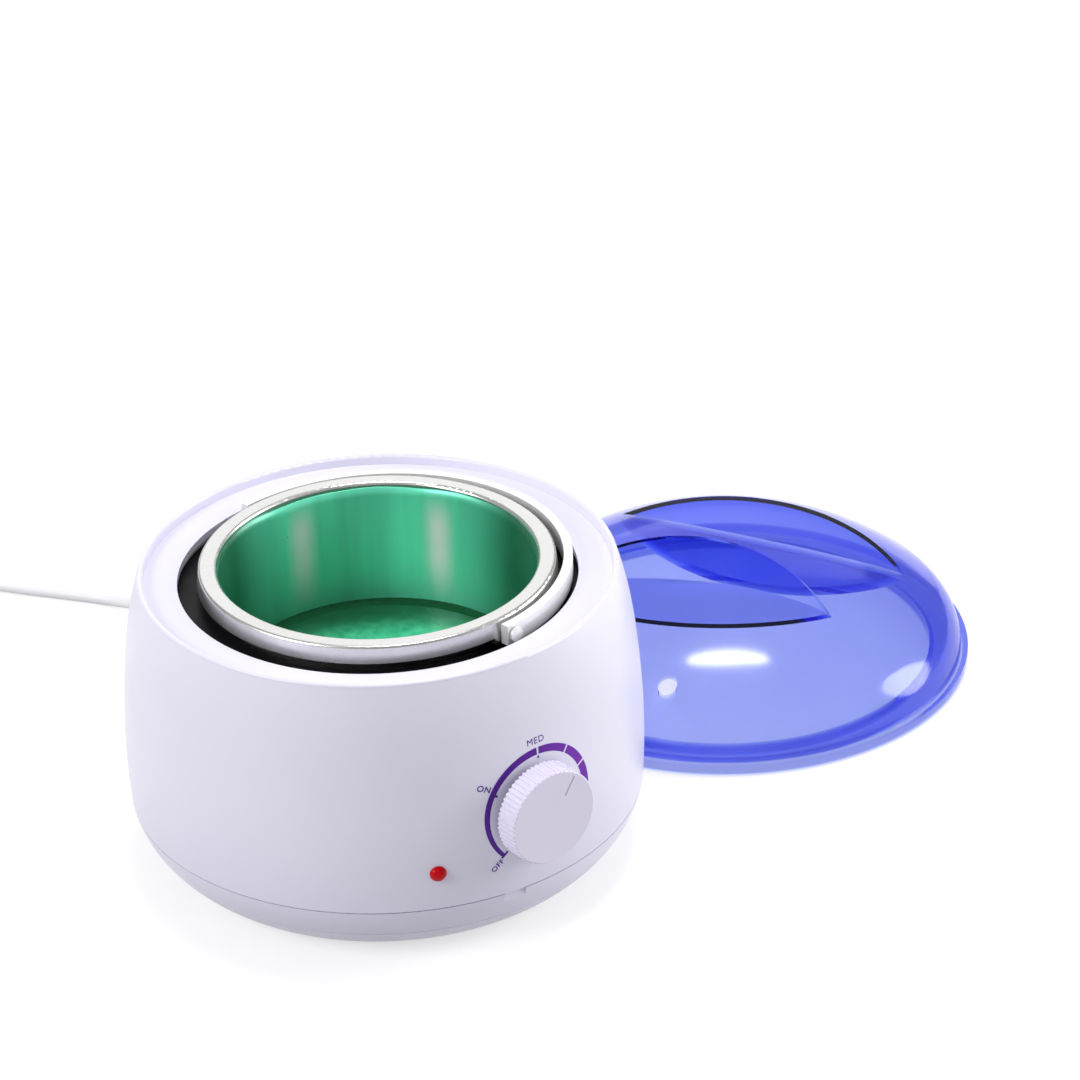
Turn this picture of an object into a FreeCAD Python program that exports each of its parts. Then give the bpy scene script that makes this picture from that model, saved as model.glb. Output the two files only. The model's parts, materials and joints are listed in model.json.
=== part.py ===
import FreeCAD, Part
import math
import os

# Wax warmer pot: a heated well in a two-piece plastic body, a lift-out steel pot with a bail,
# a thermostat knob, a pilot lamp, a mains cord and a domed lid that lies beside the body.
# Millimetres, +Z up, origin on the table under the body's axis, knob towards -Y.

V = FreeCAD.Vector
ORIGIN = V(0, 0, 0)
UP = V(0, 0, 1)
FRONT = V(0, -1, 0)

# Body outline: how far each point lies inside the belly's radius, and its height
foot_edge_draw = 17.65
base_low_draw = 8.85
base_low_height = 8.0
base_mid_draw = 3.15
base_mid_height = 16.0
seam_draw = 0.55
seam_height = 23.5
belly_height = 42.0
shoulder_draw = 1.3
shoulder_drop = 36.4
crown_draw = 4.65
crown_drop = 12.4
rim_draw = 7.65

# Outer shell: its rim and deck lie below the pot's rim
shell_wall = 2.4
rim_wall = 2.0
rim_drop = 2.1
deck_drop = 5.7
deck_thickness = 2.4
mouth_gap = 0.8
post_radius = 4.0
post_top = 40.0
rib_width = 2.4
rib_gap = 1.0

# Base cover, foot ring and base screws
base_clearance = 1.2
base_wall = 2.2
base_floor = 2.4
base_corner_ease = 1.0
seam_gap = 0.4
lip_height = 3.5
lip_thickness = 2.0
lip_clearance = 0.2
crease_height = 12.0
crease_depth = 0.2
notch_bearing = -7.3
notch_width = 8.0
notch_height = 4.0
notch_depth = 1.0
foot_inset = 10.0
foot_width = 8.0
foot_sink = 1.2
vent_count = 12
vent_bearing = 15.0
vent_inner_radius = 22.0
vent_outer_radius = 40.0
vent_width = 3.0
screw_inset = 5.8
screw_bearings = (45.0, 135.0, 225.0, 315.0)
screw_radius = 1.5
screw_head_radius = 3.3
screw_head_height = 2.2
screw_length = 15.0
screw_end_gap = 1.0
screw_slot_width = 1.0
screw_slot_depth = 1.0
screw_clearance = 0.2
screw_head_sink = 1.0
boss_radius = 5.4
boss_height = 5.4

# Inner pot
pot_rim_height = 106.5
pot_floor_radius = 51.3
pot_taper = 2.1
pot_rim_width = 6.6
pot_seat_height = 39.0
pot_wall = 1.4
pot_corner = 6.0
pot_rim_thickness = 1.5
pot_skirt_height = 5.9
pot_skirt_wall = 1.6
pot_skirt_flare = 0.6
pot_rim_round = 1.1
pot_mouth_round = 1.2
ear_width = 10.0
ear_drop = 2.3
wax_depth = 22.0

# Bail of the pot
bail_bearing = 8.0
bail_end_gap = 0.8
bail_side_gap = 2.8
bail_thickness = 3.0
bail_height = 7.0
bail_overrun = 3.0
pivot_drop = 4.5
rivet_radius = 1.5
rivet_clearance = 0.3
rivet_head_radius = 2.5
rivet_head_height = 0.9

# Heater well, gasket, bracket, heater band and clamp
well_gap = 1.7
well_wall = 1.5
well_flange_overlap = 4.4
gasket_thickness = 2.0
gasket_width = 3.5
bracket_thickness = 1.5
bracket_width = 16.0
bracket_bearings = (90.0, 270.0)
bracket_post_gap = 4.1
bracket_screw_length = 12.0
bracket_post_drop = 14.9
bracket_post_radius = 4.5
band_thickness = 2.6
band_rise = 7.0
band_gap = 14.0
clamp_thickness = 0.8
clamp_share = 0.385
clamp_ear = 9.0
clamp_ear_gap = 8.0
clamp_ear_wall = 1.2
clamp_screw_radius = 1.6
clamp_head_radius = 2.9
clamp_head_height = 1.8
clamp_nut_height = 2.2
fuse_radius = 3.0
fuse_length = 14.0
fuse_drop = 4.9
fuse_gap = 4.0
fuse_bearing = 120.0
clip_height = 6.0
clip_width = 10.0
clip_wall = 1.2

# Thermostat and knob
knob_side = -2.2
knob_height = 52.4
knob_radius = 16.7
knob_face_radius = 16.4
knob_depth = 7.9
knob_gap = 0.7
knob_round = 0.6
knob_wall = 2.3
knob_cap = 2.5
knob_hub_radius = 5.5
knob_grooves = 60
knob_groove_radius = 0.5
pointer_angle = 34.0
pointer_inner = 8.0
pointer_outer = 15.0
pointer_width = 1.0
pointer_depth = 0.25
shaft_radius = 3.0
shaft_flat = 2.2
shaft_grip = 6.5
shaft_bury = 7.0
shaft_fit = 0.08
shaft_hole_clearance = 0.5
thermostat_width = 28.0
thermostat_depth = 14.0
thermostat_setback = 8.5
thermostat_gap = 3.75
stat_bracket_thickness = 1.5
stat_bracket_width = 36.0
stat_screw_spread = 11.0
stat_screw_radius = 1.5
stat_screw_head_radius = 2.8
stat_screw_head_height = 1.6
stat_screw_sink = 1.4
stat_boss_radius = 4.0

# Pilot lamp
lamp_bearing = -24.8
lamp_height = 37.3
lamp_radius = 2.75
lamp_dome = 1.9
lamp_proud = 0.4
socket_radius = 4.6
socket_length = 11.0
socket_setback = 4.6
socket_boss_wall = 1.4

# Terminal block, cord clamp and wires
terminal_length = 32.0
terminal_width = 14.0
terminal_height = 12.0
terminal_setback = 36.0
terminal_pitch = 10.0
terminal_screw_radius = 2.2
terminal_screw_depth = 4.0
terminal_screw_proud = 1.2
terminal_slot_width = 0.8
clamp_block_length = 22.0
clamp_block_width = 6.0
clamp_block_gap = 3.0
clamp_block_top = 4.1
clamp_block_spread = 7.5
clamp_block_screw_radius = 1.3
clamp_block_head_radius = 2.5
clamp_block_head_height = 1.8
clamp_block_bite = 1.0
wire_radius = 1.0
wire_low = 9.6
wire_lower = 6.4
wire_middle = 20.0
wire_bend = 8.0
wire_end_bend = 2.5
wire_side = 13.5
wire_inner_side = 9.5
wire_gap = 4.6
wire_attach_rise = 3.0
wire_lamp_setback = 7.0

# Cord, gland, coil, tie and plug
cord_diameter = 4.5
cord_height = 31.0
gland_length = 28.0
gland_neck_radius = 6.0
gland_tip_radius = 3.6
gland_flange_radius = 8.4
gland_flange_thickness = 2.0
gland_inner_gap = 0.6
tail_inset = 19.65
tail_low = 9.5
tail_bend = 9.0
coil_radius = 32.0
coil_pitch = 5.2
coil_layer_step = 5.1
coil_quarter_count = 9
coil_lift = 1.5
coil_tail = 22.0
tie_width = 8.0
tie_wall = 1.2
tie_clearance = 0.3
tie_quarter_count = 3
plug_relief_length = 20.0
plug_relief_tip = 3.4
plug_relief_root = 5.0
plug_length = 36.0
plug_width = 26.0
plug_round = 3.0
pin_radius = 2.0
pin_length = 19.0
pin_spacing = 19.0

# Route of the free cord, chosen by hand from the gland's tip to the coil:
# sideways, back from the tip, and height
cord_route = (
    (0.0, 0.0, 31.0),
    (0.0, 14.35, 31.0),
    (4.4, 29.85, 25.6),
    (10.8, 45.35, 15.4),
    (15.4, 61.35, 6.0),
    (12.2, 77.85, 2.25),
    (2.6, 91.85, 2.25),
    (-12.9, 112.35, 2.25),
    (-31.03, 137.4, 3.75),
    (-47.5, 160.05, 3.75),
)
bend_share = 0.45

# Lid, in its own frame: bar along X, rim on the table
lid_overhang = 10.0
lid_height = 47.2
lid_band_height = 4.0
lid_step = 2.5
lid_shoulder = 20.0
lid_wall = 2.0
lid_rib_wall = 1.6
lid_fit = 0.6
lid_seat_drop = 3.0
lid_bar_half_width = 3.2
lid_scoop_radius = 80.0
lid_scoop_floor = 28.9
lid_scoop_slope = 10.1
lid_scoop_fall = 4.5
lid_vent_radius = 3.5
lid_vent_inset = 18.0
lid_vent_bearing = -82.4
lid_turn = -63.3
lid_tuck = 8.95
lid_heading = 7.39

# Sizes worked out from those above: the pot sets the well, the well sets the body
pot_mouth_radius = pot_floor_radius + pot_taper
pot_rim_radius = pot_mouth_radius + pot_rim_width
wax_level = pot_seat_height + wax_depth
pivot_height = pot_rim_height - pivot_drop
bail_end_radius = pot_rim_radius + bail_end_gap
bail_side_radius = pot_rim_radius + bail_side_gap
mouth_radius = bail_side_radius + bail_thickness + mouth_gap
well_inner_radius = pot_mouth_radius + pot_wall + well_gap
well_outer_radius = well_inner_radius + well_wall
well_underside = pot_seat_height - well_wall
well_flange_radius = mouth_radius + well_flange_overlap
band_radius = well_outer_radius + band_thickness
clamp_radius = band_radius + clamp_thickness
bracket_screw_circle = clamp_radius + bracket_post_gap + bracket_post_radius
wire_rise_radius = clamp_radius + wire_gap
belly_radius = clamp_radius + thermostat_gap + thermostat_depth + thermostat_setback
seam_radius = belly_radius - seam_draw
shoulder_radius = belly_radius - shoulder_draw
crown_radius = belly_radius - crown_draw
rim_radius = belly_radius - rim_draw
base_mid_radius = belly_radius - base_mid_draw
base_low_radius = belly_radius - base_low_draw
foot_edge_radius = belly_radius - foot_edge_draw
foot_outer_radius = foot_edge_radius - foot_inset
screw_circle = foot_edge_radius - screw_inset
tail_drop = belly_radius - tail_inset
rim_height = pot_rim_height - rim_drop
crown_height = rim_height - crown_drop
shoulder_height = rim_height - shoulder_drop
deck_height = pot_rim_height - deck_drop
deck_underside = deck_height - deck_thickness
flange_top = deck_underside - gasket_thickness
flange_underside = flange_top - well_wall
bracket_post_top = flange_underside - bracket_post_drop
fuse_low = flange_underside - fuse_drop - fuse_length
band_low = pot_seat_height + band_rise
band_height = fuse_low - fuse_gap - band_low
clamp_height = band_height * clamp_share
clamp_low = band_low + (band_height - clamp_height) / 2
wire_attach_height = band_low + wire_attach_rise
base_floor_top = base_clearance + base_floor
post_low = base_floor_top + boss_height
cord_radius = cord_diameter / 2
lid_radius = rim_radius + lid_overhang
lid_vent_reach = lid_radius - lid_vent_inset
lid_distance = belly_radius + lid_radius - lid_tuck
lid_place = V(lid_distance * math.cos(math.radians(lid_heading)),
              lid_distance * math.sin(math.radians(lid_heading)), 0)
stat_front = belly_radius - thermostat_setback
stat_bracket_front = stat_front + stat_bracket_thickness
knob_back = belly_radius + knob_gap
knob_shift = V(knob_side, 0, 0)


def cylinder(radius, height, base, axis=UP):
    return Part.makeCylinder(radius, height, base, axis)


def ring(outer, inner, low, high):
    """A plain tube about the body's axis."""
    height = high - low
    return cylinder(outer, height, V(0, 0, low)).cut(cylinder(inner, height, V(0, 0, low)))


def block(low, high):
    """A box between two corners."""
    return Part.makeBox(high[0] - low[0], high[1] - low[1], high[2] - low[2], V(*low))


def turned(edges):
    """A solid of revolution about Z from a closed outline in the XZ plane."""
    return Part.Face(Part.Wire(Part.__sortEdges__(edges))).revolve(ORIGIN, UP, 360)


def line(start, end):
    """A straight edge of an outline, between two (radius, height) points."""
    return Part.LineSegment(V(start[0], 0, start[1]), V(end[0], 0, end[1])).toShape()


def lines(points):
    """Straight edges along (radius, height) points."""
    return [line(a, b) for a, b in zip(points, points[1:])]


def arc(start, middle, end):
    """A round edge of an outline through three (radius, height) points."""
    points = [V(p[0], 0, p[1]) for p in (start, middle, end)]
    return Part.Arc(*points).toShape()


def smooth(points):
    """A smooth curve of an outline through (radius, height) points."""
    curve = Part.BSplineCurve()
    curve.interpolate([V(p[0], 0, p[1]) for p in points])
    return curve


def bearing_point(radius, bearing, height):
    """The point at a bearing from the front, positive to the right as seen from the front."""
    angle = math.radians(bearing)
    return V(radius * math.sin(angle), -radius * math.cos(angle), height)


def at_bearing(shape, bearing):
    """A shape made at the front, turned to its bearing."""
    return shape.rotated(ORIGIN, UP, bearing)


def facing_front(shape, distance, height):
    """A shape made along +Z, laid along -Y with its start at a distance from the axis."""
    laid = shape.rotated(ORIGIN, V(1, 0, 0), 90)
    return laid.translated(V(0, -distance, height))


def fused(shapes):
    first = shapes[0]
    if len(shapes) == 1:
        return first
    return first.fuse(list(shapes[1:])).removeSplitter()


def bent_path(points, radii):
    """Straight runs joined by tangent arcs, with one radius for each inner point."""
    edges = []
    start = points[0]
    for before, corner, after, radius in zip(points, points[1:], points[2:], radii):
        incoming = (corner - before).normalize()
        outgoing = (after - corner).normalize()
        half_turn = incoming.getAngle(outgoing) / 2
        reach = radius * math.tan(half_turn)
        entry = corner - incoming * reach
        leave = corner + outgoing * reach
        inward = (outgoing - incoming).normalize()
        centre = corner + inward * (radius / math.cos(half_turn))
        edges.append(Part.LineSegment(start, entry).toShape())
        edges.append(Part.Arc(entry, centre - inward * radius, leave).toShape())
        start = leave
    edges.append(Part.LineSegment(start, points[-1]).toShape())
    return Part.Wire(edges)


def tube(path, start, heading, radius):
    """A round tube along a path."""
    section = Part.Wire(Part.Circle(start, heading, radius).toShape())
    return path.makePipeShell([section], True, False)


def shell_outline():
    return smooth((
        (seam_radius, seam_height),
        (belly_radius, belly_height),
        (shoulder_radius, shoulder_height),
        (crown_radius, crown_height),
        (rim_radius, rim_height - rim_wall / 2),
    ))


def radius_at(curve, height):
    """The radius of an outline's curve at a height."""
    level = Part.LineSegment(V(0, 0, height), V(2 * belly_radius, 0, height))
    return curve.intersect(level)[0].X


# Outer shell: barrel wall, sunk deck with the mouth, posts, ribs and bosses
def make_outer_shell():
    inner_rim = rim_radius - rim_wall
    rim_start = rim_height - rim_wall / 2
    inside_top = radius_at(shell_outline(), deck_underside) - shell_wall
    inside = smooth((
        (seam_radius - shell_wall, seam_height),
        (belly_radius - shell_wall, belly_height),
        (shoulder_radius - shell_wall, shoulder_height),
        (crown_radius - shell_wall, crown_height),
        (inside_top, deck_underside),
    ))
    edges = [shell_outline().toShape(), inside.toShape()]
    rim_top = (rim_radius - rim_wall / 2, rim_height)
    edges.append(arc((rim_radius, rim_start), rim_top, (inner_rim, rim_start)))
    edges += lines((
        (inner_rim, rim_start),
        (inner_rim, deck_height),
        (mouth_radius, deck_height),
        (mouth_radius, deck_underside),
        (inside_top, deck_underside),
    ))
    edges.append(line((seam_radius - shell_wall, seam_height), (seam_radius, seam_height)))
    shell = turned(edges)
    adds = []
    rib_low = seam_height + lip_height + rib_gap
    wall_middle = seam_radius - shell_wall / 2
    for bearing in screw_bearings:
        post = bearing_point(screw_circle, bearing, post_low)
        adds.append(cylinder(post_radius, post_top - post_low, post))
        rib = block((-rib_width / 2, -wall_middle, rib_low), (rib_width / 2, -screw_circle, post_top))
        adds.append(at_bearing(rib, bearing))
    post_reach = radius_at(shell_outline(), bracket_post_top) - shell_wall / 2
    for bearing in bracket_bearings:
        base = bearing_point(bracket_screw_circle, bearing, well_underside)
        adds.append(cylinder(bracket_post_radius, bracket_post_top - well_underside, base))
        rib = block((-rib_width / 2, -post_reach, well_underside),
                    (rib_width / 2, -bracket_screw_circle, bracket_post_top))
        adds.append(at_bearing(rib, bearing))
    wall_middle_face = cylinder(knob_wall_radius() - shell_wall / 2, 2 * knob_height, ORIGIN)
    for side in (-1, 1):
        boss = cylinder(stat_boss_radius, belly_radius - stat_bracket_front,
                        V(side * stat_screw_spread, -stat_bracket_front, knob_height), FRONT)
        adds.append(boss.translated(knob_shift).common(wall_middle_face))
    lamp_wall = radius_at(shell_outline(), lamp_height) - shell_wall / 2
    socket_front = lamp_wall + shell_wall / 2 - socket_setback
    lamp_boss = cylinder(socket_radius + socket_boss_wall, lamp_wall - socket_front + socket_length / 2,
                         V(0, -socket_front + socket_length / 2, lamp_height), FRONT)
    adds.append(at_bearing(lamp_boss, lamp_bearing))
    shell = fused([shell] + adds)
    cuts = []
    for bearing in screw_bearings:
        hole = bearing_point(screw_circle, bearing, post_low - screw_end_gap)
        cuts.append(cylinder(screw_radius, screw_length, hole))
    for bearing in bracket_bearings:
        base = bearing_point(bracket_screw_circle, bearing, well_underside)
        cuts.append(cylinder(screw_radius, bracket_screw_length, base))
    reach = 2 * shell_wall + thermostat_setback
    shaft_hole = cylinder(shaft_radius + shaft_hole_clearance, reach, V(0, -stat_front, knob_height), FRONT)
    cuts.append(shaft_hole.translated(knob_shift))
    for side in (-1, 1):
        place = V(side * stat_screw_spread, -stat_front, knob_height)
        seat = V(side * stat_screw_spread, -stat_head_seat(), knob_height)
        head_hole = cylinder(stat_screw_head_radius, reach, seat, FRONT)
        screw_hole = cylinder(stat_screw_radius, reach, place, FRONT).fuse(head_hole)
        cuts.append(screw_hole.translated(knob_shift))
    lamp_start = V(0, -socket_front + socket_length, lamp_height)
    cuts.append(at_bearing(cylinder(socket_radius, socket_length, lamp_start, FRONT), lamp_bearing))
    cuts.append(at_bearing(cylinder(lamp_radius, 2 * socket_length, lamp_start, FRONT), lamp_bearing))
    cuts.append(cylinder(gland_neck_radius, 4 * shell_wall, V(0, gland_wall() - 2 * shell_wall, cord_height),
                         V(0, 1, 0)))
    for cut in cuts:
        shell = shell.cut(cut)
    return shell


def knob_wall_radius():
    """The shell's outer radius at the knob's height."""
    return radius_at(shell_outline(), knob_height)


def stat_head_seat():
    """Distance from the axis to the seat of the thermostat screws' heads."""
    return knob_wall_radius() - stat_screw_sink - stat_screw_head_height


def gland_wall():
    """Radius of the shell where the cord leaves it."""
    return radius_at(shell_outline(), cord_height)


# Base cover: pan with a lip, screw bosses, foot groove, vents, crease and pry notch
def make_base_cover():
    outline = smooth((
        (foot_edge_radius, base_clearance),
        (base_low_radius, base_low_height),
        (base_mid_radius, base_mid_height),
        (seam_radius, seam_height),
    ))
    inside = smooth((
        (foot_edge_radius - base_wall, base_floor_top),
        (base_low_radius - base_wall - base_corner_ease, base_low_height + base_corner_ease),
        (base_mid_radius - base_wall, base_mid_height + base_corner_ease),
        (seam_radius - shell_wall - lip_clearance - lip_thickness, seam_height),
    ))
    lip_outer = seam_radius - shell_wall - lip_clearance
    lip_top = seam_height + lip_height
    edges = [outline.toShape(), inside.toShape()]
    edges += lines((
        (seam_radius, seam_height),
        (lip_outer, seam_height),
        (lip_outer, lip_top),
        (lip_outer - lip_thickness, lip_top),
        (lip_outer - lip_thickness, seam_height),
    ))
    edges += lines((
        (foot_edge_radius - base_wall, base_floor_top),
        (0, base_floor_top),
        (0, base_clearance),
        (foot_edge_radius, base_clearance),
    ))
    cover = turned(edges)
    bosses = []
    for bearing in screw_bearings:
        boss = bearing_point(screw_circle, bearing, base_floor_top)
        bosses.append(cylinder(boss_radius, boss_height, boss))
    cover = fused([cover] + bosses)
    cuts = []
    head_room = screw_head_sink + screw_head_height
    for bearing in screw_bearings:
        low = bearing_point(screw_circle, bearing, base_clearance)
        cuts.append(cylinder(screw_head_radius + screw_clearance, head_room, low))
        cuts.append(cylinder(screw_radius + screw_clearance, base_floor + boss_height, low))
    cuts.append(ring(foot_outer_radius, foot_outer_radius - foot_width, base_clearance,
                     base_clearance + foot_sink))
    for index in range(vent_count):
        slot = block((-vent_width / 2, -vent_outer_radius, base_clearance),
                     (vent_width / 2, -vent_inner_radius, base_floor_top))
        cuts.append(at_bearing(slot, index * 360.0 / vent_count + vent_bearing))
    crease_radius = radius_at(outline, crease_height)
    crease = turned(lines((
        (crease_radius - crease_depth, crease_height),
        (crease_radius + 2 * crease_depth, crease_height - 2 * crease_depth),
        (crease_radius + 2 * crease_depth, crease_height + 2 * crease_depth),
        (crease_radius - crease_depth, crease_height),
    )))
    cuts.append(crease)
    cuts.append(ring(belly_radius, lip_outer, seam_height - seam_gap, seam_height))
    notch = block((-notch_width / 2, -seam_radius - notch_depth, seam_height - notch_height),
                  (notch_width / 2, -seam_radius + notch_depth, seam_height))
    cuts.append(at_bearing(notch, notch_bearing))
    for side in (-1, 1):
        place = V(side * clamp_block_spread, clamp_block_middle(), base_floor_top - clamp_block_bite)
        cuts.append(cylinder(clamp_block_screw_radius, clamp_block_bite, place))
    cuts.append(cylinder(gland_flange_radius + lip_clearance, 2 * base_wall + lip_thickness,
                         V(0, lip_outer - base_wall - lip_thickness, cord_height), V(0, 1, 0)))
    return cover.cut(cuts)


def make_foot_ring():
    return ring(foot_outer_radius, foot_outer_radius - foot_width, 0, base_clearance + foot_sink)


def make_base_screws():
    screws = []
    head_low = base_clearance + screw_head_sink
    for bearing in screw_bearings:
        head = cylinder(screw_head_radius, screw_head_height, bearing_point(screw_circle, bearing, head_low))
        shank_low = head_low + screw_head_height
        shank = cylinder(screw_radius, screw_length - screw_end_gap + post_low - shank_low,
                         bearing_point(screw_circle, bearing, shank_low))
        slot = block((-screw_slot_width / 2, -screw_head_radius, 0),
                     (screw_slot_width / 2, screw_head_radius, screw_slot_depth))
        slot = slot.translated(bearing_point(screw_circle, bearing, head_low))
        screws.append(head.fuse(shank).cut(slot))
    return Part.makeCompound(screws)


# Inner pot: tapered steel cup with a flat rim, a turned-down skirt and two ears for the bail
def pot_inside_outline():
    """The cup's inner outline from the floor's middle to the mouth."""
    floor = pot_seat_height + pot_wall
    start = (pot_floor_radius - pot_corner, floor)
    middle_angle = math.radians(45)
    middle = (pot_floor_radius - pot_corner + pot_corner * math.sin(middle_angle),
              floor + pot_corner - pot_corner * math.cos(middle_angle))
    end = (pot_floor_radius, floor + pot_corner)
    return [line((0, floor), start), arc(start, middle, end), line(end, pot_mouth_edge())]


def pot_mouth_edge():
    """Where the cup's wall turns into its rim."""
    return (pot_mouth_radius, pot_rim_height - pot_mouth_round)


def make_inner_pot():
    floor = pot_seat_height + pot_wall
    outer_floor = pot_floor_radius + pot_wall
    corner = pot_corner + pot_wall
    start = (outer_floor - corner, pot_seat_height)
    middle = (outer_floor - corner + corner * math.sin(math.radians(45)),
              pot_seat_height + corner - corner * math.cos(math.radians(45)))
    end = (outer_floor, pot_seat_height + corner)
    rim_low = pot_rim_height - pot_rim_thickness
    skirt_low = pot_rim_height - pot_skirt_height
    skirt_inner = pot_rim_radius - pot_skirt_wall
    rim_edge = pot_rim_radius - pot_skirt_flare
    round_middle = (rim_edge - pot_rim_round * (1 - math.sin(math.radians(45))),
                    pot_rim_height - pot_rim_round * (1 - math.cos(math.radians(45))))
    edges = pot_inside_outline()
    edges += lines(((0, floor), (0, pot_seat_height), start))
    edges.append(arc(start, middle, end))
    edges += lines((
        end,
        (pot_mouth_radius + pot_wall, rim_low),
        (skirt_inner - pot_skirt_flare, rim_low),
        (skirt_inner, skirt_low),
        (pot_rim_radius, skirt_low),
        (rim_edge, pot_rim_height - pot_rim_round),
    ))
    edges.append(arc((rim_edge, pot_rim_height - pot_rim_round), round_middle,
                     (rim_edge - pot_rim_round, pot_rim_height)))
    rim_start = (pot_mouth_radius + pot_mouth_round, pot_rim_height)
    mouth_middle = (pot_mouth_radius + pot_mouth_round * (1 - math.cos(math.radians(45))),
                    pot_rim_height - pot_mouth_round * (1 - math.sin(math.radians(45))))
    edges.append(line((rim_edge - pot_rim_round, pot_rim_height), rim_start))
    edges.append(arc(rim_start, mouth_middle, pot_mouth_edge()))
    pot = turned(edges)
    ears = []
    holes = []
    sleeve = ring(pot_rim_radius, skirt_inner, skirt_low - ear_drop, skirt_low)
    for bearing in (bail_bearing, bail_bearing + 180):
        side = block((-ear_width / 2, -2 * pot_rim_radius, skirt_low - ear_drop),
                     (ear_width / 2, 0, skirt_low))
        ears.append(sleeve.common(at_bearing(side, bearing)))
        hole_start = V(0, -skirt_inner + pot_skirt_wall, pivot_height)
        hole = cylinder(rivet_radius, 3 * pot_skirt_wall, hole_start, FRONT)
        holes.append(at_bearing(hole, bearing))
    return fused([pot] + ears).cut(holes)


def make_wax_fill():
    """The wax in the cup, filled to its level."""
    edges = pot_inside_outline()
    top = pot_mouth_edge()
    edges += lines((top, (0, top[1]), (0, pot_seat_height + pot_wall)))
    return turned(edges).common(cylinder(pot_rim_radius, wax_level, ORIGIN))


# Bail: flat strip round half the rim, on two rivets, lying in the gap at the right
def bail_oval(grow):
    """A tall oval prism, a little wider to the side than to the rivets."""
    oval = Part.Ellipse(V(0, 0, pivot_height - bail_height / 2), bail_side_radius + grow, bail_end_radius + grow)
    return Part.Face(Part.Wire(oval.toShape())).extrude(V(0, 0, bail_height))


def make_bail_handle():
    reach = 2 * mouth_radius
    half = block((-bail_overrun, -reach, 0), (reach, reach, 2 * pot_rim_height))
    strip = bail_oval(bail_thickness).cut(bail_oval(0)).common(half)
    holes = []
    for heading in (FRONT, V(0, 1, 0)):
        holes.append(cylinder(rivet_radius + rivet_clearance, reach, V(0, 0, pivot_height), heading))
    return at_bearing(strip.cut(holes), bail_bearing)


def make_bail_rivets():
    rivets = []
    skirt_inner = pot_rim_radius - pot_skirt_wall - pot_skirt_flare
    head_start = bail_end_radius + bail_thickness + rivet_clearance
    for bearing in (bail_bearing, bail_bearing + 180):
        pin_start = skirt_inner - rivet_head_height
        pin = cylinder(rivet_radius, head_start - pin_start, V(0, -pin_start, pivot_height), FRONT)
        head = cylinder(rivet_head_radius, rivet_head_height, V(0, -head_start, pivot_height), FRONT)
        tail = cylinder(rivet_head_radius, rivet_head_height, V(0, -pin_start, pivot_height), FRONT)
        skin = cylinder(skirt_inner, 4 * rivet_head_radius, V(0, 0, pivot_height - 2 * rivet_head_radius))
        rivet = fused([pin, head, tail.common(skin)])
        rivets.append(at_bearing(rivet, bearing))
    return Part.makeCompound(rivets)


# Heater well: flanged cup that the pot stands in
def make_heater_well():
    return turned(lines((
        (0, pot_seat_height),
        (well_inner_radius, pot_seat_height),
        (well_inner_radius, flange_top),
        (well_flange_radius, flange_top),
        (well_flange_radius, flange_underside),
        (well_outer_radius, flange_underside),
        (well_outer_radius, well_underside),
        (0, well_underside),
        (0, pot_seat_height),
    )))


def make_well_gasket():
    return ring(well_flange_radius, well_flange_radius - gasket_width, flange_top, deck_underside)


def make_well_bracket():
    reach = bracket_screw_circle + bracket_post_radius
    strap = block((-reach, -bracket_width / 2, well_underside - bracket_thickness),
                  (reach, bracket_width / 2, well_underside))
    holes = []
    for bearing in bracket_bearings:
        base = bearing_point(bracket_screw_circle, bearing, well_underside - bracket_thickness)
        holes.append(cylinder(screw_radius + screw_clearance, bracket_thickness, base))
    return strap.cut(holes)


def make_bracket_screws():
    screws = []
    head_top = well_underside - bracket_thickness
    for bearing in bracket_bearings:
        head = cylinder(screw_head_radius, screw_head_height,
                        bearing_point(bracket_screw_circle, bearing, head_top - screw_head_height))
        shank = cylinder(screw_radius, bracket_thickness + bracket_screw_length,
                         bearing_point(bracket_screw_circle, bearing, head_top))
        screws.append(head.fuse(shank))
    return Part.makeCompound(screws)


# Heater band round the well, with its clamp strap, both open at the back
def make_heater_band():
    band = ring(band_radius, well_outer_radius, band_low, band_low + band_height)
    gap = block((-band_gap / 2, 0, band_low), (band_gap / 2, 2 * band_radius, band_low + band_height))
    return band.cut(gap)


def make_band_clamp():
    clamp_top = clamp_low + clamp_height
    strap = ring(clamp_radius, band_radius, clamp_low, clamp_top)
    half_gap = clamp_ear_gap / 2
    gap = block((-half_gap, 0, clamp_low), (half_gap, 2 * band_radius, clamp_top))
    ears = []
    outside = cylinder(band_radius, clamp_height, V(0, 0, clamp_low))
    for side in (-1, 1):
        inner = side * half_gap
        outer = side * (half_gap + clamp_ear_wall)
        ear = block((min(inner, outer), band_radius - clamp_ear_wall, clamp_low),
                    (max(inner, outer), clamp_radius + clamp_ear, clamp_top))
        ears.append(ear.cut(outside))
    clamp = fused([strap.cut(gap)] + ears)
    hole_start = clamp_screw_place(2 * clamp_ear_gap)
    return clamp.cut(cylinder(clamp_screw_radius, 4 * clamp_ear_gap, hole_start, V(1, 0, 0)))


def clamp_screw_place(back):
    """A point on the axis of the clamp's screw, a distance to the left of the middle."""
    return V(-back, clamp_radius + clamp_ear / 2, clamp_low + clamp_height / 2)


def make_band_screw():
    reach = clamp_ear_gap / 2 + clamp_ear_wall
    shank = cylinder(clamp_screw_radius, 2 * reach, clamp_screw_place(reach), V(1, 0, 0))
    head_start = clamp_screw_place(reach + clamp_head_height)
    head = cylinder(clamp_head_radius, clamp_head_height, head_start, V(1, 0, 0))
    nut = cylinder(clamp_head_radius, clamp_nut_height, clamp_screw_place(-reach), V(1, 0, 0))
    return fused([shank, head, nut])


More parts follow.
